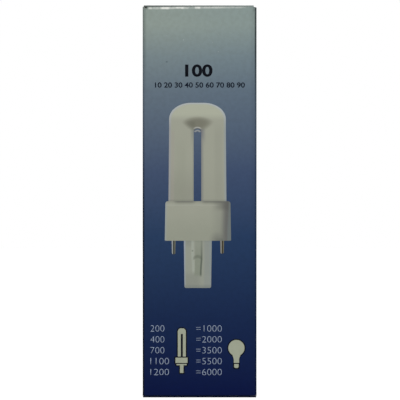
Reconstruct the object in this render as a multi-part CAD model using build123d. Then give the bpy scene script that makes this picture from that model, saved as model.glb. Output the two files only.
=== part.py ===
from build123d import *
from math import asin, cos, degrees, radians, sin, sqrt
import os

# A tall card carton with a tuck-in lid at each end, and the twin-tube lamp that it holds.
# Millimetres. The origin is the centre of the bottom, +Z is up, and the front panel faces -Y.
# The top lid is creased to the back panel and tucks behind the front panel. The bottom lid is
# the same piece turned round: creased to the front panel, tucked inside the back panel.

# Glass tube of the lamp
tube_diameter = 12.0
tube_gap = 4.0  # slot between the two legs
tube_height = 66.0  # above the base
socket_depth = 6.0  # how far each leg sits in the base
socket_clearance = 0.1

# Plastic base of the lamp, with its centre post
base_wall = 2.0  # beyond the tubes or pins, whichever are wider
base_cheek = 2.25  # in front of and behind the tubes
base_height = 19.0
base_corner_radius = 5.0
base_shoulder_radius = 1.2
base_foot_bevel = 0.4
collar_height = 2.5  # set-in band round the sockets
collar_step = 0.5
collar_bevel = 0.5
post_width = 13.4
post_depth = 8.5
post_length = 22.7
post_corner_radius = 1.2
post_end_bevel = 1.0
rib_width = 3.8
rib_height = 0.4
rib_length = 17.2
latch_drop = 7.4  # from the base down to the latch notch in each side of the post
latch_height = 1.5
latch_depth = 0.7

# Contact pins
pin_diameter = 2.35
pin_spacing = 23.0
pin_length = 6.8  # below the base
pin_seat_depth = 4.0
pin_clearance = 0.05
pin_tip_radius = 0.7

# Card and its creases
card = 0.45
crease_inner_radius = 0.15
layer_gap = 0.1  # between layers that lie on each other

# Room round the lamp, which sets the carton's size
side_room = 1.05
depth_room = 1.8
head_room = 10.8

# Lids
tuck_depth = 10.0
tuck_gap = 0.15  # from the tuck to the panel that it slides behind
tuck_side_room = 0.2
tuck_corner_radius = 5.0
top_lid_left_gap = 0.35
top_lid_right_gap = 0.9
bottom_lid_side_gap = 0.1

# Dust flaps
post_bearing = 2.2  # how much of each bottom flap lies under the post
flap_tuck_gap = 0.3  # from the flap to the tuck in front of it
flap_hinge_gap = 0.4  # from the flap to the panel that the lid is creased to
flap_shoulder = 4.0  # straight stretch of the flap's edge on the tuck side
flap_taper = 2.2
flap_corner_cut = 4.0
flap_corner_radius = 1.0
crease_relief = 0.25  # side panels stop this far short of the flap's fold, beside it

# Glue seam, inside the left panel at its rear edge
glue_flap_width = 11.0
glue_flap_bevel = 3.0
glue_flap_end_gap = 2.0
seam_setback = 0.1  # from the left panel's raw edge to the start of the glue flap's crease

# Top edge of the front panel
notch_inset = 0.35
notch_width = 1.1
notch_depth = 0.5
worn_corner_width = 0.9
worn_corner_drop = 0.3

# Worked out from the values above
tube_radius = tube_diameter / 2
tube_pitch = tube_diameter + tube_gap
pin_radius = pin_diameter / 2
base_width = max(tube_pitch + tube_diameter, pin_spacing + pin_diameter) + 2 * base_wall
base_depth = tube_diameter + 2 * base_cheek

crease_outer_radius = crease_inner_radius + card
flap_stack = 2 * card + layer_gap  # a lid and the dust flaps against it
width = base_width + 2 * side_room + 2 * card
depth = base_depth + 2 * depth_room + 2 * card
lamp_bottom = flap_stack
base_bottom = lamp_bottom + post_length
base_top = base_bottom + base_height
tube_top = base_top + tube_height
height = tube_top + head_room + flap_stack

front = -depth / 2
back = depth / 2
lid_underside = height - card
hinge_y = back - card / 2
hinge_z = height - card / 2

flap_top = lid_underside - layer_gap
flap_fold_x = width / 2 - crease_outer_radius  # centre of the flap's bend
flap_fold_z = flap_top - crease_outer_radius
flap_tuck_side = front + 2 * card + tuck_gap + flap_tuck_gap
flap_hinge_side = back - card - flap_hinge_gap


def turned_to_bottom(shape):
    """Turn a piece of the top end round onto the bottom end, back to front."""
    middle = Pos(0, 0, height / 2)
    return middle * Rot(180, 0, 0) * middle.inverse() * shape


def block(x_range, y_range, z_range):
    """A block between two values on each axis."""
    sizes = [high - low for low, high in (x_range, y_range, z_range)]
    centre = [(low + high) / 2 for low, high in (x_range, y_range, z_range)]
    return Pos(*centre) * Box(*sizes)


def lamp_tube():
    """Two glass legs joined by a cross tube with rounded shoulders, blown as one."""
    cross_z = tube_top - tube_radius
    leg_bottom = base_top - socket_depth
    leg_length = cross_z - leg_bottom
    tube = Pos(0, 0, cross_z) * Rot(0, 90, 0) * Cylinder(tube_radius, tube_pitch)
    for side in (-1, 1):
        x = side * tube_pitch / 2
        tube += Pos(x, 0, leg_bottom + leg_length / 2) * Cylinder(tube_radius, leg_length)
        tube += Pos(x, 0, cross_z) * Sphere(tube_radius)
    return tube


def base_housing():
    """The moulded block that holds the tubes: round shoulder, bevelled foot, set-in collar on top."""
    plan = RectangleRounded(base_width, base_depth, base_corner_radius)
    body = extrude(Pos(0, 0, base_bottom) * plan, base_height - collar_height)
    body = fillet(body.faces().sort_by(Axis.Z)[-1].edges(), base_shoulder_radius)
    body = chamfer(body.faces().sort_by(Axis.Z)[0].edges(), base_foot_bevel)
    collar_length = collar_height + base_shoulder_radius
    collar = extrude(Pos(0, 0, base_top - collar_length) * offset(plan, -collar_step), collar_length)
    return body + chamfer(collar.faces().sort_by(Axis.Z)[-1].edges(), collar_bevel)


def centre_post():
    """The post between the pins: bevelled end, a rib on its wide faces, a latch notch in each side."""
    post_plan = RectangleRounded(post_width, post_depth, post_corner_radius)
    post = extrude(Pos(0, 0, lamp_bottom) * post_plan, post_length)
    post = chamfer(post.faces().sort_by(Axis.Z)[0].edges(), post_end_bevel)
    rib_depth = post_depth + 2 * rib_height
    post += Pos(0, 0, base_bottom - rib_length / 2) * Box(rib_width, rib_depth, rib_length)
    notch_z = base_bottom - latch_drop - latch_height / 2
    for side in (-1, 1):
        notch_x = side * (post_width / 2 - latch_depth / 2)
        post -= Pos(notch_x, 0, notch_z) * Box(latch_depth, post_depth, latch_height)
    return post


def lamp_base():
    """Base and post moulded as one, with sockets for the tube legs and holes for the pins."""
    base = base_housing() + centre_post()
    for side in (-1, 1):
        socket = Cylinder(tube_radius + socket_clearance, socket_depth)
        base -= Pos(side * tube_pitch / 2, 0, base_top - socket_depth / 2) * socket
        pin_hole = Cylinder(pin_radius + pin_clearance, pin_seat_depth)
        base -= Pos(side * pin_spacing / 2, 0, base_bottom + pin_seat_depth / 2) * pin_hole
    return base


def contact_pin(side):
    """A round-tipped pin, seated in the base beside the post."""
    total = pin_length + pin_seat_depth
    pin = Cylinder(pin_radius, total)
    pin = fillet(pin.faces().sort_by(Axis.Z)[0].edges(), pin_tip_radius)
    return Pos(side * pin_spacing / 2, 0, base_bottom + pin_seat_depth - total / 2) * pin


def wall_section():
    """Section of the four panels, with the left panel's raw edge where the glue flap's crease starts."""
    section = RectangleRounded(width, depth, crease_outer_radius)
    section -= RectangleRounded(width - 2 * card, depth - 2 * card, crease_inner_radius)
    crease_end = -width / 2 + card + crease_outer_radius
    crease_start = back - crease_outer_radius
    raw_edge = crease_start - seam_setback
    corner = Rectangle(crease_end + width / 2, back - raw_edge, align=(Align.MIN, Align.MIN))
    section -= Pos(-width / 2, raw_edge) * corner
    crease = Circle(crease_outer_radius) - Circle(crease_inner_radius)
    quarter = Rectangle(crease_outer_radius, crease_outer_radius, align=(Align.MAX, Align.MIN))
    return section + Pos(crease_end, crease_start) * (crease & quarter)


def glue_flap():
    """Flap with bevelled ends, creased from the back panel and glued inside the left panel."""
    root = back - crease_outer_radius
    low = flap_stack + glue_flap_end_gap
    high = height - flap_stack - glue_flap_end_gap
    corners = [
        (root, low),
        (root - glue_flap_width, low + glue_flap_bevel),
        (root - glue_flap_width, high - glue_flap_bevel),
        (root, high),
    ]
    outline = Plane.YZ * make_face(Polyline(*corners, close=True).edges())
    return Pos(-width / 2 + card, 0, 0) * extrude(outline, card, dir=(1, 0, 0))


def dust_flap():
    """Right dust flap of the top end: folded in from the side panel, under the lid."""
    free_end = post_width / 2 - post_bearing
    bend = Circle(crease_outer_radius) - Circle(crease_inner_radius)
    bend &= Rectangle(crease_outer_radius, crease_outer_radius, align=(Align.MIN, Align.MIN))
    strip = Rectangle(flap_fold_x - free_end, card, align=(Align.MAX, Align.MIN))
    profile = Pos(flap_fold_x, flap_fold_z) * (bend + Pos(0, crease_inner_radius) * strip)
    sheet = extrude(Plane.XZ * profile, depth / 2, both=True)
    corners = [
        (width / 2, flap_tuck_side),
        (width / 2 - flap_shoulder, flap_tuck_side),
        (free_end, flap_tuck_side + flap_taper),
        (free_end, flap_hinge_side - flap_corner_cut),
        (free_end + flap_corner_cut, flap_hinge_side),
        (width / 2, flap_hinge_side),
    ]
    plan = make_face(Polyline(*corners, close=True).edges())
    free_corners = plan.vertices().sort_by(Axis.X)[:2]
    plan = fillet(free_corners, flap_corner_radius)
    return sheet & extrude(Pos(0, 0, flap_fold_z) * plan, crease_outer_radius)


def end_cuts():
    """What comes off the four walls at the top end, where the flaps and the lid fold."""
    side_panel = (front + crease_outer_radius, back - crease_outer_radius)
    cuts = [block((-width / 2, width / 2), (front + card, back), (flap_top, height))]
    for side in (-1, 1):
        x_range = sorted((side * flap_fold_x, side * width / 2))
        cuts.append(block(x_range, (flap_tuck_side, flap_hinge_side), (flap_fold_z, height)))
        cuts.append(block(x_range, side_panel, (flap_top - crease_relief, height)))
    return cuts


def front_edge_cuts():
    """The small relief at the front panel's top left corner, and the worn right corner."""
    notch_left = -width / 2 + notch_inset
    notch = block(
        (notch_left, notch_left + notch_width),
        (front, front + crease_outer_radius),
        (lid_underside - notch_depth, height),
    )
    worn_corner = [
        (width / 2 - worn_corner_width, lid_underside),
        (width / 2, lid_underside - worn_corner_drop),
        (width / 2, lid_underside),
    ]
    slope = Plane.XZ.offset(-front) * make_face(Polyline(*worn_corner, close=True).edges())
    return [notch, extrude(slope, crease_outer_radius, dir=(0, 1, 0))]


def carton_sleeve():
    """The four panels, glue flap and four dust flaps, folded from one blank."""
    sleeve = extrude(wall_section(), height)
    for cut in end_cuts():
        sleeve -= cut
        sleeve -= turned_to_bottom(cut)
    sleeve -= block((-width, width), (front, front + crease_outer_radius), (lid_underside, height))
    for cut in front_edge_cuts():
        sleeve -= cut
    for flap in (dust_flap(), mirror(dust_flap(), Plane.YZ)):
        sleeve += flap
        sleeve += turned_to_bottom(flap)
    return sleeve + glue_flap()


def lid_profile():
    """Side view of a lid: rounded knuckle at the crease, flat panel, bend, and a bowed tuck.

    The tuck is bowed about the crease that the lid turns on, so it slides past the panel in
    front of it at an even gap.
    """
    middle_radius = hinge_y - front - card - tuck_gap - card / 2
    bend_radius = crease_inner_radius + card / 2
    centre_distance = middle_radius - bend_radius
    bend_y = hinge_y - sqrt(centre_distance**2 - bend_radius**2)
    bend_z = hinge_z - bend_radius
    start_angle = degrees(asin(bend_radius / centre_distance))
    tuck_angle = degrees(asin(tuck_depth / middle_radius)) - start_angle
    with BuildLine() as outline:
        for reach in (-card / 2, card / 2):
            Line((hinge_y, hinge_z + reach), (bend_y, hinge_z + reach))
            CenterArc((bend_y, bend_z), bend_radius + reach, 90, 90 + start_angle)
            CenterArc((hinge_y, hinge_z), middle_radius + reach, 180 + start_angle, tuck_angle)
        tip_angle = radians(180 + start_angle + tuck_angle)
        tip = [
            (hinge_y + radius * cos(tip_angle), hinge_z + radius * sin(tip_angle))
            for radius in (middle_radius - card / 2, middle_radius + card / 2)
        ]
        Line(*tip)
        CenterArc((hinge_y, hinge_z), card / 2, -90, 180)
    return make_face(outline.edges())


def lid(left_gap, right_gap):
    """Top lid with its tuck, creased from one sheet."""
    left = -width / 2 + left_gap
    right = width / 2 - right_gap
    sheet = extrude(Plane.YZ * lid_profile(), width / 2, both=True)
    tip_z = sheet.bounding_box().min.Z
    tuck_half_width = width / 2 - 2 * card - tuck_side_room
    panel = Pos(left, lid_underside) * Rectangle(right - left, card, align=(Align.MIN, Align.MIN))
    tuck = Rectangle(2 * tuck_half_width, height - tip_z, align=(Align.CENTER, Align.MIN))
    tuck = fillet(tuck.vertices().group_by(Axis.Y)[0], tuck_corner_radius)
    outline = panel + Pos(0, tip_z) * tuck
    return sheet & extrude(Plane.XZ * outline, depth, both=True)


parts = {
    "carton_sleeve": carton_sleeve(),
    "top_lid": lid(top_lid_left_gap, top_lid_right_gap),
    "bottom_lid": turned_to_bottom(lid(bottom_lid_side_gap, bottom_lid_side_gap)),
    "lamp_tube": lamp_tube(),
    "lamp_base": lamp_base(),
    "contact_pin_left": contact_pin(-1),
    "contact_pin_right": contact_pin(1),
}

os.makedirs("parts", exist_ok=True)
for name, solid in parts.items():
    export_step(solid, f"parts/{name}.step")
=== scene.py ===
"""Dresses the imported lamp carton: its printed card, the lamp picture and the plain numbers on its
panels, and the glass, plastic and brass of the lamp inside. Lengths are in millimetres up to the
point where Blender takes them."""

import math

import bpy
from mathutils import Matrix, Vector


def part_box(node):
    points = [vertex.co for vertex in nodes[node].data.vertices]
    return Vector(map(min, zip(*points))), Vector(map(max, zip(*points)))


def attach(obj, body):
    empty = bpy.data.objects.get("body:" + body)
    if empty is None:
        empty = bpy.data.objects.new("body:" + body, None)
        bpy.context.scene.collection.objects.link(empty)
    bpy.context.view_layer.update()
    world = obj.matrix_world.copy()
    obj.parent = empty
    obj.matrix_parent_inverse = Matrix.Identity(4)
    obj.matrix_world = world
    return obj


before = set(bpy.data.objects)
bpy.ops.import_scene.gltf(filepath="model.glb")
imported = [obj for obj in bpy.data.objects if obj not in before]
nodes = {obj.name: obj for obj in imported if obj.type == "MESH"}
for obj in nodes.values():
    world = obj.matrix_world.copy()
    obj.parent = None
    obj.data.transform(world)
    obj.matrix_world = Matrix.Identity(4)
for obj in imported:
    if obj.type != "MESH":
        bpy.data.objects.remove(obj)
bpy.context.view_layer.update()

MM = 0.001
sleeve_low, sleeve_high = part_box("carton_sleeve")
HALF_WIDTH = sleeve_high.x / MM
FRONT = sleeve_low.y / MM
BACK = sleeve_high.y / MM
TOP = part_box("top_lid")[1].z / MM
MIDDLE_Z = TOP / 2

# Folded card
CARD = 0.45
CREASE = 0.6  # outer radius of a fold
LAYER_GAP = 0.1
FLAP_TOP = TOP - CARD - LAYER_GAP
FRONT_TOP = TOP - CARD
SEAM_SETBACK = 0.1
HINGE_Y = BACK - CARD / 2
HINGE_Z = TOP - CARD / 2
LID_REACH = HINGE_Y - FRONT - CARD - 0.15  # from a lid's hinge to its tuck's outer face
INK_RUN_ON = 3.2  # how far the ink runs on past a lid's front fold
PRINTED_SKIN = 0.1  # depth at which the printed face gives way to the raw core
CARD_SHEEN = 0.06  # the varnish is thin and dull
TOP_EDGE_RUBS = (  # middle, half length and strength of the rubbed places along the front's top edge
    (-15.1, 0.8, 0.6),
    (-13.4, 1.5, 0.45),
    (-10.65, 2.2, 1.0),
    (-8.1, 1.4, 0.55),
    (-6.05, 2.1, 0.85),
    (-3.9, 0.9, 0.5),
    (-0.6, 1.2, 0.95),
    (1.6, 1.6, 0.5),
    (5.0, 4.4, 0.52),
    (10.5, 4.5, 0.33),
)
SPECK_AND_CORNER_GAP_SHADOW = (  # place, core and edge across and up the front, and strength, of a dark speck and of a painted shadow in the gap at the top left corner
    ((-10.1, 0.12, 0.45), (103.1, 0.1, 0.35), 0.35),
    ((-16.65, 0.15, 0.55), (119.5, 0.15, 0.55), 0.36),
)

# Printed pieces are thin plates of ink, seated a little way into the card
INK = 0.03
INK_SEAT = 0.01
UNDERPRINT = 0.012  # the dark edge round the small signs is a thinner film

# Lamp picture, measured across the front panel from its middle and up from its foot
TUBE_LEFT, TUBE_RIGHT, TUBE_LOW, TUBE_HIGH = -9.38, 8.06, 60.28, 90.5
TUBE_SHOULDER = 6.8
TUBE_SHOULDER_FLATTENING = 0.735
TUBE_FOOT_SPREAD = 1.0215
SLOT_LEFT, SLOT_RIGHT, SLOT_TOP = -1.82, 0.5, 82.55
ARCH_CLEARANCE = 0.02  # between the bright arch and the slot's sides
ARCH_DROP = 0.3  # from the slot's top to the arch's
ARCH_BAND = 0.5
ARCH_CUT = 0.38  # above the arch's centre
BASE_LEFT, BASE_RIGHT, BASE_LOW, BASE_HIGH = -10.71, 9.68, 48.14, 60.28
BASE_TOP_DRAFT = 0.98
BASE_TOP_CORNER = 0.75
BASE_FOOT_CORNER = 0.3
POST_LEFT, POST_RIGHT, POST_LOW = -4.85, 3.74, 33.63
POST_FOOT_DRAFT = 0.952
POST_FOOT_CORNER = 0.45
PIN_PLACES = ((-8.59, -7.41, 43.95), (6.33, 7.5, 44.15))  # left, right and lowest point of each
PIN_TIP_TAPER = 0.86
PIN_TONES = (  # glint, dark side and far edge of each, and where across the pin the glint ends
    ((144, 149, 150), (50, 53, 46), (122, 124, 109), 0.28),
    ((129, 128, 122), (50, 45, 32), (118, 114, 95), 0.35),
)

# Small signs beside the table
TUBE_SIGN_PLACE = (-5.46, 7.41)
TUBE_SIGN_TUBE = (-1.24, 1.22, 5.15, 13.8)  # left, right, low and high from the sign's place
TUBE_SIGN_SLOT = (0.31, 12.1)  # half width and top
TUBE_SIGN_BASE = ((-1.95, 1.75, 3.18, 4.82), (-1.64, 1.46, 2.48, 2.88), (-0.57, 0.5, 0.12, 2.48))
TUBE_SIGN_CORNER = 0.08
BULB_SIGN_PLACE = (11.31, 15.2)  # the globe's centre
BULB_SIGN_RADIUS = 2.48
BULB_SIGN_NECK_LOW = 10.62
BULB_SIGN_CAP = (-0.7, 0.66, 9.05, 10.28)  # left and right of the centre, low and high
BULB_SIGN_CAP_CORNER = 0.5
SIGN_EDGE = 0.36

# Plain numbers: text, left, low, height, width and added weight
BOLD_FIGURE = ("100", -4.45, 98.5, 3.8, 8.4, 0.03)
SMALL_FIGURES = ("10 20 30 40 50 60 70 80 90", -13.7, 95.15, 1.65, 27.6, 0.018)
SIDE_NUMBER = ("10", -2.6, 50.5, 4.4, 5.2, 0.02)
LID_NUMBER = ("100", -5.0, -2.2, 4.4, 10.0, 0.025)

# Table of plain numbers
TABLE_ROWS = (
    ("200", "=1000"),
    ("400", "=2000"),
    ("700", "=3500"),
    ("1100", "=5500"),
    ("1200", "=6000"),
)
TABLE_LEFT, TABLE_RIGHT_COLUMN = -15.1, -1.05
TABLE_TOP_ROW, TABLE_PITCH = 20.21, 3.345
TABLE_FIGURE = 1.95
TABLE_FIGURE_WIDTHS = (1.42, 1.57)  # of one figure in the left column and in the right
TABLE_WEIGHT = -0.02

# Print on the sides, measured as on the front
SIDE_SIGN_PLACE = (0, 62)
SIDE_SIGN_SCALE = 2.3
SIDE_LEFT, SIDE_RIGHT = -7.5, 7.5  # of the pale field and of the rules
PALE_FIELD_LOW, PALE_FIELD_HIGH = 12, 27
PALE_FIELD_CORNER = 0.8
RULED_ROWS = 6
RULE_LOW, RULE_PITCH, RULE_HEIGHT = 14, 5.2, 0.22
RULED_NUMBER_LEFT, RULED_NUMBER_RISE, RULED_NUMBER_HEIGHT = -7.0, 1.1, 2.2

# How print made on the front panel is turned, and then moved in metres, to its face
SIDE_MOVE = (HALF_WIDTH + FRONT) * MM
FACES = {
    "front": ((0, 0, 0), (0, 0, 0)),
    "back": ((0, 0, math.pi), (0, 0, 0)),
    "right": ((0, 0, math.pi / 2), (SIDE_MOVE, 0, 0)),
    "left": ((0, 0, -math.pi / 2), (-SIDE_MOVE, 0, 0)),
    "lid": ((-math.pi / 2, 0, 0), (0, 0, (TOP + FRONT) * MM)),
}

# Light and camera, in metres and watts
AMBIENT = 0.7
LAMPS = (  # name, place, size and power
    ("key", (-0.5, -0.8, 0.7), 0.7, 4.6),
    ("fill", (0.8, -0.5, 0.4), 0.6, 2.5),
    ("rim", (0.2, 0.9, 0.7), 0.6, 3.0),
)
FLOOR_SIZE = 6
FLOOR_GLOW = 0.88
CAMERA_DISTANCE = 1.0  # from the front panel
CAMERA_SENSOR = 36
FRAME_HEIGHT = 0.12287  # of what the whole photograph shows at the front panel
FRAME_ACROSS, FRAME_UP = 0.12 * MM, 0.4 * MM  # from the panel's middle to the frame's

# Colours as they are seen, in 0 to 255
FADE = [
    (0.0, (1, 14, 60)),
    (0.2, (20, 38, 73)),
    (0.41, (37, 58, 90)),
    (0.575, (63, 78, 105)),
    (0.78, (97, 111, 123)),
    (0.87, (117, 131, 135)),
    (0.95, (139, 151, 145)),
]
WHITE = (255, 255, 255)
BOARD = (208, 207, 200)
BOARD_FIBRE = (200, 199, 191)
RAW_EDGE = (225, 226, 220)
# Colour of painted shade in the card's folds and edges, and of one dark speck
PAINTED_SHADE_AND_SPECK = (8, 14, 22)
LID_FOLD_SHADE = (20, 26, 30)
FLOOR_GREY = (188, 188, 188)
FLOOR_GREY_IN_SIGHT = (108, 108, 108)
PLAIN_INKS = {
    "arch_ink": (139, 143, 145),
    "bold_ink": (0, 4, 14),
    "small_ink": (4, 16, 32),
    "table_ink": (156, 169, 190),
    "sign_ink": (163, 168, 148),
    "sign_edge_ink": (0, 5, 18),
    "pale_field_ink": (196, 203, 202),
}


def linear(colour):
    """A seen colour, 0 to 255, as the linear red, green, blue and alpha that a shader takes."""
    seen = [c / 255 for c in colour]
    return tuple(c / 12.92 if c <= 0.04045 else ((c + 0.055) / 1.055) ** 2.4 for c in seen) + (1.0,)


class Term:
    """A number on a shader's socket, so that maths on it is written as a Python expression."""

    def __init__(self, shader, socket):
        self.shader = shader
        self.socket = socket

    def math(self, operation, *others):
        terms = dict(enumerate((self, *others)))
        node = self.shader.add("ShaderNodeMath", {"operation": operation}, terms)
        return Term(self.shader, node.outputs[0])

    def __add__(self, other):
        return self.math("ADD", other)

    __radd__ = __add__

    def __sub__(self, other):
        return self.math("SUBTRACT", other)

    def __rsub__(self, other):
        return (self * -1) + other

    def __mul__(self, other):
        return self.math("MULTIPLY", other)

    __rmul__ = __mul__

    def __truediv__(self, other):
        return self.math("DIVIDE", other)

    def __abs__(self):
        return self.math("ABSOLUTE")

    def at_least(self, other):
        return self.math("MAXIMUM", other)

    def at_most(self, other):
        return self.math("MINIMUM", other)

    def root(self):
        return self.math("SQRT")

    def step(self, start, end):
        """0 before start and 1 after end, with a soft rise between. end may be below start."""
        low, high = sorted((start, end))
        settings = {"interpolation_type": "SMOOTHSTEP"}
        values = {"Value": self, "From Min": low, "From Max": high}
        node = self.shader.add("ShaderNodeMapRange", settings, values)
        rise = Term(self.shader, node.outputs["Result"])
        return rise if start < end else 1 - rise

    def near(self, centre, core, edge):
        """1 within core of a centre, falling softly to 0 at edge from it."""
        return abs(self - centre).step(edge, core)


class Shader:
    """One material's or world's nodes, with places in millimetres."""

    def __init__(self, owner, turned=False):
        self.owner = bpy.data.materials.new(owner) if isinstance(owner, str) else owner
        self.owner.use_nodes = True
        self.tree = self.owner.node_tree
        self.surface = self.tree.nodes.get("Principled BSDF")
        self.place = self.add("ShaderNodeTexCoord").outputs["Object"]
        split = self.add("ShaderNodeSeparateXYZ", {}, {"Vector": self.place})
        across, depth, height = [Term(self, split.outputs[axis]) / MM for axis in "XYZ"]
        self.x = across * -1 if turned else across
        self.y = depth
        self.z = height

    def add(self, kind, settings=None, values=None):
        """A node of a kind. Its settings are set first, then the values or links of its sockets."""
        node = self.tree.nodes.new(kind)
        for name, value in (settings or {}).items():
            if name == "stops":
                for position, colour in value[2:]:
                    node.color_ramp.elements.new(position)
                for element, (position, colour) in zip(node.color_ramp.elements, value):
                    element.position = position
                    element.color = colour
            else:
                setattr(node, name, value)
        for name, value in (values or {}).items():
            self.feed(node.inputs[name], value)
        return node

    def feed(self, socket, value):
        """Link a term or a socket, or set a plain value."""
        if isinstance(value, Term):
            value = value.socket
        if isinstance(value, bpy.types.NodeSocket):
            self.tree.links.new(value, socket)
        else:
            socket.default_value = value

    def mix(self, factor, first, second, blend="MIX"):
        """The first colour where factor is 0 and the second where it is 1."""
        first, second = [linear(c) if isinstance(c, tuple) else c for c in (first, second)]
        settings = {"data_type": "RGBA", "blend_type": blend}
        node = self.add("ShaderNodeMix", settings, {0: factor, 6: first, 7: second})
        return node.outputs[2]

    def washes(self, colour, *washes):
        """A colour with washes laid over it, each a mask and a seen colour."""
        for mask, seen in washes:
            colour = self.mix(mask, colour, seen)
        return colour

    def noise(self, size, detail=2.0, stretch=(1, 1, 1)):
        """Cloudy noise from 0 to 1 with features about size across, longer where stretch is more."""
        scale = tuple(1 / s for s in stretch)
        mapped = self.add("ShaderNodeMapping", {}, {"Vector": self.place, "Scale": scale})
        values = {"Vector": mapped.outputs[0], "Scale": 1 / (size * MM), "Detail": detail}
        return Term(self, self.add("ShaderNodeTexNoise", {}, values).outputs[0])

    def bump(self, height, distance, strength):
        """Feed a bump whose full height is the distance to the surface."""
        values = {"Height": height, "Distance": distance * MM, "Strength": strength}
        self.feed(self.surface.inputs["Normal"], self.add("ShaderNodeBump", {}, values).outputs[0])

    def finish(self, **values):
        """Set the surface's sockets. A name's underscores stand for spaces."""
        for name, value in values.items():
            self.feed(self.surface.inputs[name.replace("_", " ")], value)
        return self.owner


def outside_of(reaches, radius):
    """Distance outside a rounded shape, negative inside, from the reach past each edge's centre."""
    squares = [reach.at_least(0) * reach.at_least(0) for reach in reaches]
    deepest = reaches[0]
    for reach in reaches[1:]:
        deepest = deepest.at_least(reach)
    return sum(squares[1:], squares[0]).root() + deepest.at_most(0) - radius


def on_skin(outside):
    """1 on the printed face of the card and 0 in its core and on its inner face."""
    return outside.step(-1.6 * PRINTED_SKIN, -PRINTED_SKIN)


def printed_fade(shader):
    """The ink's fade from grey green at the top to deep blue at the bottom, a little cloudy."""
    height = shader.z / TOP + (shader.noise(22) - 0.5) * 0.02
    stops = [(position, linear(colour)) for position, colour in FADE]
    ramp = shader.add("ShaderNodeValToRGB", {"stops": stops}, {"Fac": height})
    cooler = shader.mix(shader.x.step(-HALF_WIDTH, HALF_WIDTH), WHITE, (246, 250, 255))
    fade = shader.mix(1.0, ramp.outputs[0], cooler, blend="MULTIPLY")
    mottle = shader.noise(1.3, detail=3).step(0.35, 0.7)
    return shader.mix(1.0, fade, shader.mix(mottle, WHITE, (249, 248, 247)), blend="MULTIPLY")


def card_relief(shader):
    """Fine grain of the board, and the slight waves that a panel takes when it is handled."""
    grain = shader.noise(0.25, detail=3)
    shader.bump(shader.noise(9, detail=1) * 0.6 + grain * 0.05, 0.12, 0.35)
    return grain


def card_surface(shader, ink, printed, worn, dull, raw=None):
    """Ink where printed, bare board elsewhere, scuffs through to white, and white raw edges."""
    fibres = shader.noise(0.3, detail=4, stretch=(1, 1, 4)).step(0.35, 0.75)
    board = shader.mix(fibres, BOARD, BOARD_FIBRE)
    white = worn if raw is None else raw.at_least(worn)
    colour = shader.mix(white, shader.mix(printed, board, ink), RAW_EDGE)
    grain = card_relief(shader)
    varnish = printed * (1 - worn) * (1 - dull)
    roughness = 0.78 + dull * 0.2 - varnish * (0.4 - grain * 0.12)
    return shader.finish(Base_Color=colour, Roughness=roughness, Specular_IOR_Level=CARD_SHEEN)


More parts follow.
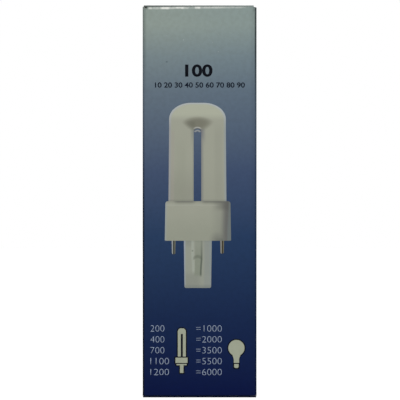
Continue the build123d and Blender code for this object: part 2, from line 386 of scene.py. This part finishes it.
def sleeve_card():
    """Printed card of the sleeve: the four panels and, folded in from the sides, the dust flaps."""
    shader = Shader("sleeve_card")
    x, y, z = shader.x, shader.y, shader.z
    reach_x = abs(x) - (HALF_WIDTH - CREASE)
    reach_y = abs(y) - (BACK - CREASE)
    reach_z = abs(z - MIDDLE_Z) - (FLAP_TOP - MIDDLE_Z - CREASE)
    between_panels = abs(y).step(BACK - CARD - 0.02, BACK - CARD - 0.08)
    panels = on_skin(outside_of([reach_x, reach_y], CREASE))
    flaps = on_skin(outside_of([reach_x, reach_z], CREASE)) * between_panels
    printed = panels.at_least(flaps)

    raw_top = z.step(FRONT_TOP - 0.03, FRONT_TOP - 0.005) * y.step(BACK - 2, BACK - 3)
    raw_bottom = z.step(0.03, 0.005)
    seam_y = BACK - CREASE - SEAM_SETBACK
    seam = y.near(seam_y, 0.03, 0.08) * x.step(-HALF_WIDTH + 1.2 * CARD, -HALF_WIDTH + CARD)
    raw = raw_top.at_least(raw_bottom).at_least(seam)

    # White wear along the front panel's top edge, in rubbed places
    rubbed = x.step(13, 7) * x.step(-16, -15) * 0.2
    for centre, half, strength in TOP_EDGE_RUBS:
        rubbed = rubbed.at_least(x.near(centre, half * 0.35, half * 1.1) * strength)
    broken = shader.noise(0.8, detail=3).step(0.3, 0.55)
    depth = z - x * 0.012 + (shader.noise(1.6, detail=2) - 0.5) * 0.35
    lip = depth.step(FRONT_TOP - 0.78, FRONT_TOP - 0.45)
    lip = lip * (z - x * 0.01).step(FRONT_TOP + 0.06, FRONT_TOP - 0.1)
    on_front = y.step(FRONT + 0.9, FRONT + 0.5)
    lip = lip * on_front * rubbed * (broken * 0.4 + 0.6)
    scuffs = shader.noise(0.9, detail=4).step(0.735, 0.78) * z.step(96, 112) * 0.4
    corner_rub = reach_x.step(0.35, 0.6) * reach_y.step(0.2, 0.45) * z.step(80, 112)
    corner_rub = corner_rub * shader.noise(1.7, detail=4).step(0.52, 0.7) * 0.3
    worn = lip.at_least(scuffs).at_least(corner_rub)

    # Painted shade in the upright folds, towards the side edges, at the top right corner, along the
    # front's top edge and in the bottom fold
    from_left = x + HALF_WIDTH
    from_right = HALF_WIDTH - x
    aloft = z.step(84, 108)
    right_fold = from_right.step(0.75, 0.35) * (aloft * 0.4 + 0.45)
    right_corner = from_right.step(1.6, 0.9) * z.step(117.5, 119.2) * 0.25
    right_edge_shade = from_right.step(2.4, 0.8) * 0.1
    left_fold = from_left.step(0.8, 0.2) * (z.step(90, 50) * 0.5 + 0.4)
    left_edge_shade = from_left.step(1.4, 0.3) * aloft * 0.3
    top_edge = z.step(FRONT_TOP - 0.3, FRONT_TOP - 0.05) * (0.3 - x * 0.015)
    shade_and_specks = right_fold
    for mark in (right_corner, right_edge_shade, left_fold, left_edge_shade, top_edge):
        shade_and_specks = shade_and_specks.at_least(mark)
    # A dark speck, and a painted shadow in the gap at the top left corner
    for across, up, strength in SPECK_AND_CORNER_GAP_SHADOW:
        shade_and_specks = shade_and_specks.at_least(x.near(*across) * z.near(*up) * strength)
    shade_and_specks = shade_and_specks * y.step(FRONT + 0.7, FRONT + 0.2)
    bottom_fold = z.step(1.0, 0.5) * 0.5
    ink = shader.mix(shade_and_specks.at_least(bottom_fold), printed_fade(shader), PAINTED_SHADE_AND_SPECK)
    creased = reach_x.step(0, 0.3) * reach_y.step(0, 0.3)
    return card_surface(shader, ink, printed, worn, creased, raw)


def lid_card(name, bottom=False):
    """Printed card of a lid. The ink goes round the hinge's fold and a little way into the tuck."""
    shader = Shader(name)
    y, z = (shader.y * -1, TOP - shader.z) if bottom else (shader.y, shader.z)
    past_y = y - HINGE_Y
    past_z = z - HINGE_Z
    reach = (past_y * past_y + past_z * past_z).root() - (LID_REACH - CREASE)
    skin = on_skin(outside_of([reach, z - (TOP - CREASE)], CREASE))
    hinge_fold = past_y.step(-0.06, 0.0)
    ink_end = z.step(TOP - INK_RUN_ON - 0.05, TOP - INK_RUN_ON)
    printed = skin.at_least(hinge_fold) * ink_end
    # Painted shade along the lid's front fold and on the knuckle of its hinge
    fold = y.step(FRONT + 1.5, FRONT + 0.9) * (0.55 - shader.x * 0.0115)
    knuckle = past_y.step(-0.4, 0.0)
    ink = shader.mix(fold, printed_fade(shader), LID_FOLD_SHADE)
    ink = shader.mix(knuckle * 0.7, ink, PAINTED_SHADE_AND_SPECK)
    scuffs = shader.noise(1.1, detail=4).step(0.6, 0.68) * 0.45
    rubbed = y.step(FRONT + 1.9, FRONT + 1.3) * z.step(TOP - 0.12, TOP - 0.02)
    end_rub = abs(shader.x).step(HALF_WIDTH - 1.1, HALF_WIDTH - 0.4)
    worn = scuffs * rubbed.at_least(end_rub * z.step(TOP - 0.1, TOP))
    return card_surface(shader, ink, printed, worn, knuckle)


def tube_glass():
    """White phosphor behind clear glass, greyer where the electrodes sit in the base."""
    shader = Shader("tube_glass")
    base_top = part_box("lamp_base")[1].z / MM
    electrode = shader.z.step(base_top + 9, base_top) * 0.5
    powder = shader.noise(0.6, detail=3) * 0.08
    colour = shader.washes((240, 239, 232), (powder, (214, 213, 204)), (electrode, (188, 186, 178)))
    shader.bump(shader.noise(6, detail=1), 0.05, 0.3)
    return shader.finish(
        Base_Color=colour, Roughness=0.34 + powder, Coat_Weight=1.0, Coat_Roughness=0.04
    )


def base_plastic():
    """Off-white moulded plastic with a fine spark-eroded grain."""
    shader = Shader("base_plastic")
    grain = shader.noise(0.18, detail=3)
    aged = shader.noise(7, detail=3).step(0.5, 0.8) * 0.3
    colour = shader.mix(aged, (226, 224, 213), (205, 200, 184))
    shader.bump(grain, 0.03, 0.5)
    return shader.finish(Base_Color=colour, Roughness=0.42 + grain * 0.15)


def pin_metal():
    """Drawn brass, dulled a little, with fine lines along the pin."""
    shader = Shader("pin_metal")
    lines = shader.noise(0.12, detail=2, stretch=(1, 1, 14))
    tarnish = shader.noise(1.6, detail=3).step(0.45, 0.8) * 0.5
    colour = shader.mix(tarnish, (214, 184, 112), (164, 128, 70))
    shader.bump(lines, 0.01, 0.5)
    return shader.finish(Base_Color=colour, Metallic=1.0, Roughness=0.2 + tarnish * 0.3 + lines * 0.1)


def ink_surface(shader, colour):
    """Print on the varnished card: the same sheen and grain as the panel round it."""
    roughness = 0.38 + card_relief(shader) * 0.12
    return shader.finish(Base_Color=colour, Roughness=roughness, Specular_IOR_Level=CARD_SHEEN)


def plain_ink(name, seen):
    """One ink, faintly uneven as print is."""
    shader = Shader(name)
    thin = tuple(c * 0.96 + 6 for c in seen)
    thick = tuple(c * 0.94 for c in seen)
    return ink_surface(shader, shader.mix(shader.noise(1.4, detail=3), thin, thick))


def tube_ink(name, turned):
    """The pictured tube: paler edges, darker bands down each leg, and the shade over the slot."""
    shader = Shader(name, turned)
    x, z = shader.x, shader.z
    middle = (SLOT_LEFT + SLOT_RIGHT) / 2
    half_slot = (SLOT_RIGHT - SLOT_LEFT) / 2
    spread = (TUBE_FOOT_SPREAD - 1) * (TUBE_RIGHT - TUBE_LEFT) / 2
    flare = z.step(SLOT_TOP, TUBE_LOW - 22) * 2 * spread
    from_left = x + flare - TUBE_LEFT
    from_right = TUBE_RIGHT + flare - x
    from_slot = abs(x - middle)
    beside_slot = z.step(SLOT_TOP, SLOT_TOP - 1.5)
    on_left = x.step(middle + 1, middle - 1)
    lower = z.step(74, 62) * (on_left * 0.65 + 0.35)
    across = abs(x - (TUBE_LEFT + TUBE_RIGHT) / 2) - (TUBE_RIGHT - TUBE_LEFT) / 2 - flare
    up = (z - TUBE_HIGH) / TUBE_SHOULDER_FLATTENING
    rim = outside_of([across + TUBE_SHOULDER, up + TUBE_SHOULDER], TUBE_SHOULDER).step(-0.9, -0.2)
    colour = shader.washes(
        (168, 171, 154),
        (z.step(87.4, 84.8), (154, 156, 142)),
        (lower, (143, 145, 132)),
        (from_left.near(3.6, 0.6, 2.6) * z.step(82, 75) * 0.2, (136, 140, 124)),
        (from_right.near(2.3, 0.5, 1.9) * z.step(86, 80) * 0.3, (138, 140, 128)),
        (from_left.near(1.2, 0.2, 0.7) * beside_slot * 0.4, (154, 149, 141)),
        (rim * on_left * 0.8, (148, 149, 153)),
        (rim * (1 - on_left) * 0.8, (142, 151, 154)),
        (rim * z.step(82, 89) * 0.8, (174, 180, 180)),
        (z.step(TUBE_LOW + 0.7, TUBE_LOW + 0.2) * 0.3, (106, 108, 100)),
    )

    # Each leg darkens where it turns in to the slot, most of all near the top
    near_top = z.step(76, 81.5)
    left_turn = from_slot.step(half_slot + 0.6, half_slot) * 0.35
    left_turn = left_turn.at_least(from_slot.step(half_slot + 1.3, half_slot) * near_top * 0.5)
    right_turn = from_slot.step(half_slot + 1.1, half_slot) * 0.55
    right_turn = right_turn.at_least(from_slot.step(half_slot + 1.7, half_slot) * near_top * 0.8)
    below_bend = z.step(SLOT_TOP + 0.6, SLOT_TOP - 0.6)
    colour = shader.washes(
        colour,
        (left_turn * on_left * below_bend, (106, 114, 116)),
        (right_turn * (1 - on_left) * below_bend, (108, 109, 117)),
    )

    # Shade under the bend: a soft lens, deeper on its left, over a bright line and a dark one
    shade_x = (x + 0.5) / (z.step(82.8, 85.0) * 1.2 + 4.3)
    shade_z = (z - 84.1) / 2.6
    lens = (shade_x * shade_x + shade_z * shade_z).step(0.98, 0.04)
    rise = z - (SLOT_TOP - half_slot)
    from_arch = (from_slot * from_slot + rise * rise).root()
    bright_line = from_arch.near(half_slot + 0.38, 0.1, 0.32) * rise.step(1.05, 1.35) * 0.6
    dark_line = from_arch.step(half_slot + 0.28, half_slot + 0.06) * rise.step(0.4, 0.8) * 0.85
    colour = shader.washes(
        colour,
        (lens * 0.95, (116, 116, 103)),
        (lens * x.step(-0.8, -2.2) * z.step(85.6, 84.2) * 0.35, (92, 93, 82)),
        (bright_line, (180, 182, 178)),
        (dark_line, (80, 84, 92)),
    )
    return ink_surface(shader, colour)


def base_ink(name, turned):
    """The pictured base: a rim line near its upper edge and a soft shade towards its right end."""
    shader = Shader(name, turned)
    x, z = shader.x, shader.z
    upper = z.step(BASE_LOW, BASE_HIGH)
    lean = (1 - BASE_TOP_DRAFT) * (BASE_RIGHT - BASE_LEFT) / 2
    from_left = x - BASE_LEFT - upper * lean
    from_right = BASE_RIGHT - x - upper * lean
    smudge_x = x - 5.7
    smudge_z = z - 48.2
    smudge = (smudge_x * smudge_x + smudge_z * smudge_z).root().step(3.4, 0.6) * 0.6
    foot_corner = z.step(49.3, 48.3) * x.near(6.2, 0.6, 1.8) * 0.4
    under_legs = x.near(-4.6, 2.0, 3.9).at_least(x.near(4.2, 2.4, 4.2))
    top_shade = z.step(BASE_HIGH - 0.8, BASE_HIGH - 0.15) * (under_legs * 0.55 + 0.2)
    top_shade = top_shade.at_least(z.step(BASE_HIGH - 1.6, BASE_HIGH - 0.3) * under_legs * 0.25)
    band = from_right - (1 - upper) * 0.5
    right_rim = (from_right - (1 - upper) * 0.7).step(0.8, 0.2) * 0.6
    colour = shader.washes(
        (156, 158, 144),
        (z.step(59, 49), (147, 150, 136)),
        (shader.noise(3, detail=2) * 0.3, (140, 144, 130)),
        (from_right.step(6.8, 3.0) * 0.4, (124, 127, 118)),
        (band.step(3.3, 1.0), (103, 104, 101)),
        (from_right.step(6.2, 2.0) * z.step(56.8, 58.6) * 0.45, (88, 88, 84)),
        (smudge, (110, 112, 106)),
        (foot_corner, (98, 102, 98)),
        (z.near(BASE_HIGH - 1.2, 0.1, 0.32) * from_right.step(2.8, 5.5) * 0.35, (168, 170, 158)),
        (from_left.step(0.75, 0.15) * 0.6, (148, 157, 160)),
        (right_rim, (112, 122, 121)),
        (top_shade, (96, 98, 92)),
    )
    return ink_surface(shader, colour)


def post_ink(name, turned):
    """The pictured post: a middle rib, a dark line beside it, a nub and paler edges."""
    shader = Shader(name, turned)
    x, z = shader.x, shader.z
    rib_low = 37.4
    on_rib = z.step(rib_low - 0.5, rib_low + 0.6)
    leaning = x + z.step(43.5, 38) * 0.27
    rib = leaning.near(-0.3, 0.9, 1.25) * on_rib
    strip = (x - z.step(44, 40) * 0.25).near(-2.15, 0.2, 0.6) * z.step(rib_low, rib_low + 2) * 0.7
    line_strength = z.step(48, 41) * 0.5 + 0.3
    line = leaning.near(0.62, 0.12, 0.42) * z.step(rib_low - 0.6, rib_low + 0.6) * line_strength
    bow = z + (x + 0.6) * (x + 0.6) * 0.35
    nub = bow.near(43.3, 0.2, 0.75) * x.near(-0.6, 1.0, 1.7) * 0.5
    speck = x.near(-2.18, 0.1, 0.35) * z.near(45.06, 0.1, 0.35) * 0.6
    left_rim = x.step(POST_LEFT + 0.75, POST_LEFT + 0.2) * 0.9
    right_rim = x.step(POST_RIGHT - 0.9, POST_RIGHT - 0.3) * 0.45
    colour = shader.washes(
        (148, 152, 140),
        (x.step(0.9, 2.0) * 0.85, (137, 143, 138)),
        (z.step(45.5, 47.5) * x.step(-1.4, -2.6) * 0.5, (132, 136, 128)),
        (z.step(39.5, 37) * x.step(1, -1) * 0.75, (135, 139, 129)),
        (z.step(39, 37) * x.step(1, 2) * 0.6, (142, 147, 140)),
        (shader.noise(1.6, detail=3) * 0.25, (134, 138, 128)),
        (rib * (z.step(47.5, 43) * 0.3 + 0.4), (127, 134, 119)),
        (strip, (160, 166, 154)),
        (nub.at_least(speck), (96, 102, 90)),
        (line, (84, 92, 82)),
        (z.step(BASE_LOW - 0.7, BASE_LOW) * 0.2, (112, 118, 108)),
        (left_rim, (150, 158, 167)),
        (right_rim, (134, 144, 150)),
        (z.step(POST_LOW + 1.3, POST_LOW + 0.4) * 0.6, (120, 126, 122)),
    )
    return ink_surface(shader, colour)


def pin_ink(name, turned):
    """The pictured pins: a grey glint on the left, dark brown inside and dull gold on the right."""
    shader = Shader(name, turned)
    colour = PIN_TONES[0][0]
    for (left, right, low), (glint, dark, far_edge, turn) in zip(PIN_PLACES, PIN_TONES):
        across = (shader.x - left) / (right - left)
        here = across.near(0.5, 0.9, 1.2)
        colour = shader.washes(
            colour,
            (here, glint),
            (across.step(turn, turn + 0.15) * here, dark),
            (across.step(0.68, 0.8) * here * 0.8, far_edge),
        )
    return ink_surface(shader, colour)


def only_select(piece):
    """Deselect everything, then select one piece and make it active."""
    bpy.ops.object.select_all(action="DESELECT")
    piece.select_set(True)
    bpy.context.view_layer.objects.active = piece


def pick(piece, test, faces=False):
    """In edit mode, select only the points or faces whose place, in millimetres, passes a test."""
    bpy.ops.object.mode_set(mode="EDIT")
    bpy.ops.mesh.select_mode(type="FACE" if faces else "VERT")
    bpy.ops.mesh.select_all(action="DESELECT")
    bpy.ops.object.mode_set(mode="OBJECT")
    for element in piece.data.polygons if faces else piece.data.vertices:
        place = (element.center if faces else element.co) / MM
        element.select = bool(test(place.x, place.z))
    bpy.ops.object.mode_set(mode="EDIT")


def flat_start(name, add, x, z, proud, **settings):
    """A flat primitive at a place on the front panel, facing out of it."""
    bpy.ops.object.select_all(action="DESELECT")
    place = (x * MM, (FRONT - proud) * MM, z * MM)
    add(location=place, rotation=(math.pi / 2, 0, 0), **settings)
    piece = bpy.context.active_object
    piece.name = name
    return piece


def sheet(name, left, right, low, high, proud=INK):
    """A flat four-sided sheet on the front panel."""
    centre = (left + right) / 2, (low + high) / 2
    piece = flat_start(name, bpy.ops.mesh.primitive_plane_add, *centre, proud, size=MM)
    piece.scale = (right - left, high - low, 1)
    bpy.ops.object.transform_apply(location=True, rotation=True, scale=True)
    return piece


def disc(name, x, z, radius, proud=INK, points=48):
    """A flat round sheet on the front panel."""
    circle = bpy.ops.mesh.primitive_circle_add
    piece = flat_start(name, circle, x, z, proud, vertices=points, radius=radius * MM, fill_type="NGON")
    bpy.ops.object.transform_apply(location=True, rotation=True, scale=True)
    return piece


def resize(piece, test, scale_x, scale_z, centre_x, centre_z):
    """Scale the points that pass a test about a centre."""
    pick(piece, test)
    centre = (centre_x * MM, FRONT * MM, centre_z * MM)
    bpy.ops.transform.resize(value=(scale_x, 1, scale_z), center_override=centre)
    bpy.ops.object.mode_set(mode="OBJECT")


def round_corners(piece, radius, test, segments=8):
    """Round the sheet's corners that pass a test."""
    pick(piece, test)
    bpy.ops.mesh.bevel(offset=radius * MM, segments=segments, affect="VERTICES")
    bpy.ops.object.mode_set(mode="OBJECT")


def slotted_sheet(name, left, right, low, high, slot_left, slot_right, slot_top, proud=INK):
    """A sheet with a slot up from its foot, as two tubes joined at the top look."""
    piece = sheet(name, left, right, low, high, proud)
    bpy.ops.object.mode_set(mode="EDIT")
    for place, normal in (
        ((slot_left * MM, 0, 0), (1, 0, 0)),
        ((slot_right * MM, 0, 0), (1, 0, 0)),
        ((0, 0, slot_top * MM), (0, 0, 1)),
    ):
        bpy.ops.mesh.select_all(action="SELECT")
        bpy.ops.mesh.bisect(plane_co=place, plane_no=normal)
    bpy.ops.object.mode_set(mode="OBJECT")
    pick(piece, lambda x, z: slot_left < x < slot_right and z < slot_top, faces=True)
    bpy.ops.mesh.delete(type="FACE")
    bpy.ops.object.mode_set(mode="OBJECT")
    return piece


def joined(name, pieces):
    """Several sheets as one piece."""
    bpy.ops.object.select_all(action="DESELECT")
    for piece in pieces:
        piece.select_set(True)
    bpy.context.view_layer.objects.active = pieces[0]
    bpy.ops.object.join()
    pieces[0].name = name
    return pieces[0]


def thicken(piece, proud):
    """Give a sheet the thickness of ink, from its face down into the card."""
    only_select(piece)
    ink = piece.modifiers.new("ink", "SOLIDIFY")
    ink.thickness = (proud + INK_SEAT) * MM
    ink.offset = -1
    bpy.ops.object.modifier_apply(modifier=ink.name)


def unite(piece, other):
    """Add another thick sheet to a thick sheet that it may overlap, as one clean shell."""
    only_select(piece)
    union = piece.modifiers.new("union", "BOOLEAN")
    union.operation = "UNION"
    union.solver = "EXACT"
    union.object = other
    bpy.ops.object.modifier_apply(modifier=union.name)
    only_select(other)
    bpy.ops.object.delete()


def print_on(face, piece, material, proud=INK, others=()):
    """Make ink of a sheet and of others that touch it, and let it ride on its face of the carton."""
    thicken(piece, proud)
    for other in others:
        thicken(other, proud)
        unite(piece, other)
    piece.rotation_euler, piece.location = FACES[face]
    bpy.ops.object.transform_apply(location=True, rotation=True, scale=True)
    piece.name = f"{face}_{piece.name}"
    piece.data.materials.clear()
    piece.data.materials.append(material)
    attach(piece, "top_flap" if face == "lid" else "carton")


def pictured_tube():
    """The pictured tube pair, with flattened round shoulders and a slightly spread foot."""
    outline = (TUBE_LEFT, TUBE_RIGHT, TUBE_LOW, TUBE_HIGH)
    piece = slotted_sheet("pictured_tube", *outline, SLOT_LEFT, SLOT_RIGHT, SLOT_TOP)
    outer = lambda x, z: x < TUBE_LEFT + 1 or x > TUBE_RIGHT - 1
    round_corners(piece, TUBE_SHOULDER, lambda x, z: outer(x, z) and z > TUBE_HIGH - 1, segments=14)
    shoulder = lambda x, z: z > TUBE_HIGH - TUBE_SHOULDER - 0.1
    resize(piece, shoulder, 1, TUBE_SHOULDER_FLATTENING, 0, TUBE_HIGH)
    centre = (TUBE_LEFT + TUBE_RIGHT) / 2
    foot = lambda x, z: outer(x, z) and z < TUBE_LOW + 1
    resize(piece, foot, TUBE_FOOT_SPREAD, 1, centre, TUBE_LOW)
    near_slot = lambda x, z: SLOT_LEFT - 0.1 < x < SLOT_RIGHT + 0.1 and abs(z - SLOT_TOP) < 0.1
    round_corners(piece, (SLOT_RIGHT - SLOT_LEFT) * 0.49, near_slot, segments=8)
    return piece


def pictured_arch():
    """The bright crescent in the top of the slot, where the bend's underside shows."""
    radius = (SLOT_RIGHT - SLOT_LEFT) / 2 - ARCH_CLEARANCE
    centre_x = (SLOT_LEFT + SLOT_RIGHT) / 2
    centre_z = SLOT_TOP - ARCH_DROP - radius
    piece = disc("pictured_arch", centre_x, centre_z, radius, points=32)
    bpy.ops.object.mode_set(mode="EDIT")
    bpy.ops.mesh.select_all(action="SELECT")
    bpy.ops.mesh.inset(thickness=ARCH_BAND * MM)
    bpy.ops.mesh.delete(type="FACE")
    bpy.ops.mesh.select_all(action="SELECT")
    cut = (centre_x * MM, FRONT * MM, (centre_z + ARCH_CUT) * MM)
    bpy.ops.mesh.bisect(plane_co=cut, plane_no=(0, 0, 1), clear_inner=True)
    bpy.ops.object.mode_set(mode="OBJECT")
    return piece


def pictured_base():
    """The pictured base, with softer corners above and a slight draft."""
    piece = sheet("pictured_base", BASE_LEFT, BASE_RIGHT, BASE_LOW, BASE_HIGH)
    upper = lambda x, z: z > BASE_HIGH - 1
    resize(piece, upper, BASE_TOP_DRAFT, 1, (BASE_LEFT + BASE_RIGHT) / 2, BASE_HIGH)
    round_corners(piece, BASE_TOP_CORNER, upper, segments=6)
    round_corners(piece, BASE_FOOT_CORNER, lambda x, z: z < BASE_LOW + 0.1, segments=4)
    return piece


def pictured_post():
    """The pictured post, a little narrower at its foot."""
    piece = sheet("pictured_post", POST_LEFT, POST_RIGHT, POST_LOW, BASE_LOW)
    foot = lambda x, z: z < POST_LOW + 1
    resize(piece, foot, POST_FOOT_DRAFT, 1, (POST_LEFT + POST_RIGHT) / 2, POST_LOW)
    round_corners(piece, POST_FOOT_CORNER, foot, segments=4)
    return piece


def pictured_pins():
    """The two pictured pins, narrowing to rounded tips."""
    pins = []
    for left, right, low in PIN_PLACES:
        pin = sheet("pin", left, right, low, BASE_LOW)
        tip = lambda x, z: z < low + 0.5
        resize(pin, tip, PIN_TIP_TAPER, 1, (left + right) / 2, low)
        round_corners(pin, (right - left) * 0.38, tip, segments=6)
        pins.append(pin)
    return joined("pictured_pins", pins)


def figures(name, text, left, low, height, width=None, heavy=0.0):
    """Plain numbers as a flat sheet, set to a height and, where given, a width."""
    piece = flat_start(name, bpy.ops.object.text_add, 0, 0, 0)
    piece.data.body = text
    piece.data.offset = heavy
    piece.data.resolution_u = 6
    bpy.ops.object.convert(target="MESH")
    piece.location = (0, 0, 0)
    bpy.ops.object.transform_apply(location=True, rotation=True, scale=True)
    xs = [v.co.x for v in piece.data.vertices]
    zs = [v.co.z for v in piece.data.vertices]
    scale_z = height * MM / (max(zs) - min(zs))
    scale_x = width * MM / (max(xs) - min(xs)) if width else scale_z
    piece.scale = (scale_x, 1, scale_z)
    piece.location = (left * MM - min(xs) * scale_x, (FRONT - INK) * MM, low * MM - min(zs) * scale_z)
    bpy.ops.object.transform_apply(location=True, rotation=True, scale=True)
    return piece


def table_figures():
    """The two columns of the table."""
    cells = []
    for row, texts in enumerate(TABLE_ROWS):
        low = TABLE_TOP_ROW - row * TABLE_PITCH
        for text, left, each in zip(texts, (TABLE_LEFT, TABLE_RIGHT_COLUMN), TABLE_FIGURE_WIDTHS):
            width = each * len(text)
            cells.append(figures("cell", text, left, low, TABLE_FIGURE, width, TABLE_WEIGHT))
    return joined("table_figures", cells)


def tube_sign(place, scale, edge, proud):
    """Sheets of a small plain sign of a tube lamp, each wider all round by edge."""
    x, z = place

    def widened(left, right, low, high):
        across = x + left * scale - edge, x + right * scale + edge
        return *across, z + low * scale - edge, z + high * scale + edge

    half_slot, slot_top = TUBE_SIGN_SLOT
    slot = (x - half_slot * scale, x + half_slot * scale, z + slot_top * scale)
    left, right, low, high = widened(*TUBE_SIGN_TUBE)
    if edge:
        tube = sheet("sign_tube", left, right, low, high, proud)
    else:
        tube = slotted_sheet("sign_tube", left, right, low, high, *slot, proud)
    outer = lambda px, pz: (px < left + 0.1 or px > right - 0.1) and pz > high - 0.1
    round_corners(tube, (right - left) * 0.42, outer, segments=10)
    parts = [tube]
    for outline in TUBE_SIGN_BASE:
        part = sheet("sign_part", *widened(*outline), proud)
        round_corners(part, TUBE_SIGN_CORNER * scale, lambda px, pz: True, segments=3)
        parts.append(part)
    return parts


def bulb_sign(place, edge, proud):
    """Sheets of a small plain sign of a round bulb: a globe drawn down to a neck, and a cap."""
    x, z = place
    radius = BULB_SIGN_RADIUS
    neck = ((0.84, z - 1.1 * radius), (0.78, z - 1.36 * radius), (1.0, BULB_SIGN_NECK_LOW - edge))
    globe = disc("sign_globe", x, z, radius + edge, proud)
    pick(globe, lambda px, pz: pz < z - (radius + edge) * 0.84)
    for width, low in neck:
        bpy.ops.mesh.extrude_region_move()
        level = (x * MM, FRONT * MM, low * MM)
        bpy.ops.transform.resize(value=(width, 1, 0), center_override=level)
    bpy.ops.object.mode_set(mode="OBJECT")
    left, right, low, high = BULB_SIGN_CAP
    cap = sheet("sign_cap", x + left - edge, x + right + edge, low - edge, high + edge, proud)
    round_corners(cap, BULB_SIGN_CAP_CORNER, lambda px, pz: pz < (low + high) / 2, segments=5)
    return [globe, cap]


def main_print(face, inks):
    """Print of the front, which the back repeats: lamp picture, figures, table and two signs."""
    turned = face == "back"
    print_on(face, pictured_tube(), tube_ink(f"{face}_tube_ink", turned))
    print_on(face, pictured_arch(), inks["arch_ink"])
    print_on(face, pictured_base(), base_ink(f"{face}_base_ink", turned))
    print_on(face, pictured_post(), post_ink(f"{face}_post_ink", turned))
    print_on(face, pictured_pins(), pin_ink(f"{face}_pin_ink", turned))
    print_on(face, figures("bold_figure", *BOLD_FIGURE), inks["bold_ink"])
    print_on(face, figures("small_figures", *SMALL_FIGURES), inks["small_ink"])
    print_on(face, table_figures(), inks["table_ink"])
    signs = (("signs", 0, INK, "sign_ink"), ("sign_edges", SIGN_EDGE, UNDERPRINT, "sign_edge_ink"))
    for name, edge, proud, ink in signs:
        parts = tube_sign(TUBE_SIGN_PLACE, 1, edge, proud) + bulb_sign(BULB_SIGN_PLACE, edge, proud)
        parts[0].name = name
        print_on(face, parts[0], inks[ink], proud, parts[1:])


def side_print(inks):
    """Print of the sides, which the photograph doesn't show: signs, numbers, rules and a field."""
    for face in ("right", "left"):
        parts = tube_sign(SIDE_SIGN_PLACE, SIDE_SIGN_SCALE, 0, INK)
        parts[0].name = "sign"
        print_on(face, parts[0], inks["sign_ink"], others=parts[1:])
    print_on("right", figures("numbers", *SIDE_NUMBER), inks["table_ink"])
    field = sheet("pale_field", SIDE_LEFT, SIDE_RIGHT, PALE_FIELD_LOW, PALE_FIELD_HIGH)
    round_corners(field, PALE_FIELD_CORNER, lambda x, z: True)
    print_on("right", field, inks["pale_field_ink"])
    rules = []
    for row in range(RULED_ROWS):
        low = RULE_LOW + row * RULE_PITCH
        number = str(10 * (RULED_ROWS - row))
        place = RULED_NUMBER_LEFT, low + RULED_NUMBER_RISE
        rules.append(sheet("rule", SIDE_LEFT, SIDE_RIGHT, low, low + RULE_HEIGHT))
        rules.append(figures("number", number, *place, RULED_NUMBER_HEIGHT))
    print_on("left", joined("ruled_numbers", rules), inks["table_ink"])


def white_sight(shader):
    """1 for rays from the camera, from gloss and through glass, which all see the white studio."""
    rays = shader.add("ShaderNodeLightPath").outputs
    seen = Term(shader, rays["Is Camera Ray"]) + Term(shader, rays["Is Glossy Ray"])
    return (seen + Term(shader, rays["Is Transmission Ray"])).at_most(1)


def white_floor():
    """A pale floor that the camera sees as white, with the carton's shadow left in it."""
    bpy.ops.object.select_all(action="DESELECT")
    bpy.ops.mesh.primitive_plane_add(size=FLOOR_SIZE, location=(0, 0, 0))
    floor = bpy.context.active_object
    floor.name = "floor"
    shader = Shader("floor")
    sight = white_sight(shader)
    shader.feed(shader.surface.inputs["Emission Strength"], sight * FLOOR_GLOW)
    grey = shader.mix(sight, FLOOR_GREY, FLOOR_GREY_IN_SIGHT)
    white = linear(WHITE)
    floor.data.materials.append(shader.finish(Base_Color=grey, Roughness=0.9, Emission_Color=white))


def white_world():
    """Even light from all round, and a white background."""
    world = bpy.data.worlds.new("studio")
    bpy.context.scene.world = world
    shader = Shader(world)
    background = shader.tree.nodes["Background"]
    shader.feed(background.inputs["Color"], linear(WHITE))
    shader.feed(background.inputs["Strength"], AMBIENT + white_sight(shader) * (1 - AMBIENT))


def soft_lamp(name, place, size, power):
    """A square soft light that faces the carton's middle."""
    light = bpy.data.lights.new(name, "AREA")
    light.size = size
    light.energy = power
    lamp = bpy.data.objects.new(name, light)
    bpy.context.scene.collection.objects.link(lamp)
    lamp.location = place
    aim = -lamp.location
    aim.z += MIDDLE_Z * MM
    lamp.rotation_euler = aim.to_track_quat("-Z", "Y").to_euler()


def photo_camera():
    """Straight at the front panel from far off, so that its sides stay upright as photographed."""
    data = bpy.data.cameras.new("camera")
    data.sensor_width = CAMERA_SENSOR
    data.lens = CAMERA_SENSOR * CAMERA_DISTANCE / FRAME_HEIGHT
    camera = bpy.data.objects.new("camera", data)
    bpy.context.scene.collection.objects.link(camera)
    camera.location = (FRAME_ACROSS, FRONT * MM - CAMERA_DISTANCE, MIDDLE_Z * MM + FRAME_UP)
    camera.rotation_euler = (math.pi / 2, 0, 0)
    bpy.context.scene.camera = camera


def dress(material, *names):
    """Give CAD nodes their material."""
    for name in names:
        nodes[name].data.materials.clear()
        nodes[name].data.materials.append(material)


photo_camera()
white_world()
white_floor()
for lamp in LAMPS:
    soft_lamp(*lamp)
bpy.context.scene.view_settings.view_transform = "Standard"

dress(sleeve_card(), "carton_sleeve")
dress(lid_card("top_lid_card"), "top_lid")
dress(lid_card("bottom_lid_card", bottom=True), "bottom_lid")
dress(tube_glass(), "lamp_tube")
dress(base_plastic(), "lamp_base")
dress(pin_metal(), "contact_pin_left", "contact_pin_right")

inks = {name: plain_ink(name, seen) for name, seen in PLAIN_INKS.items()}
main_print("front", inks)
main_print("back", inks)
side_print(inks)
print_on("lid", figures("numbers", *LID_NUMBER), inks["bold_ink"])
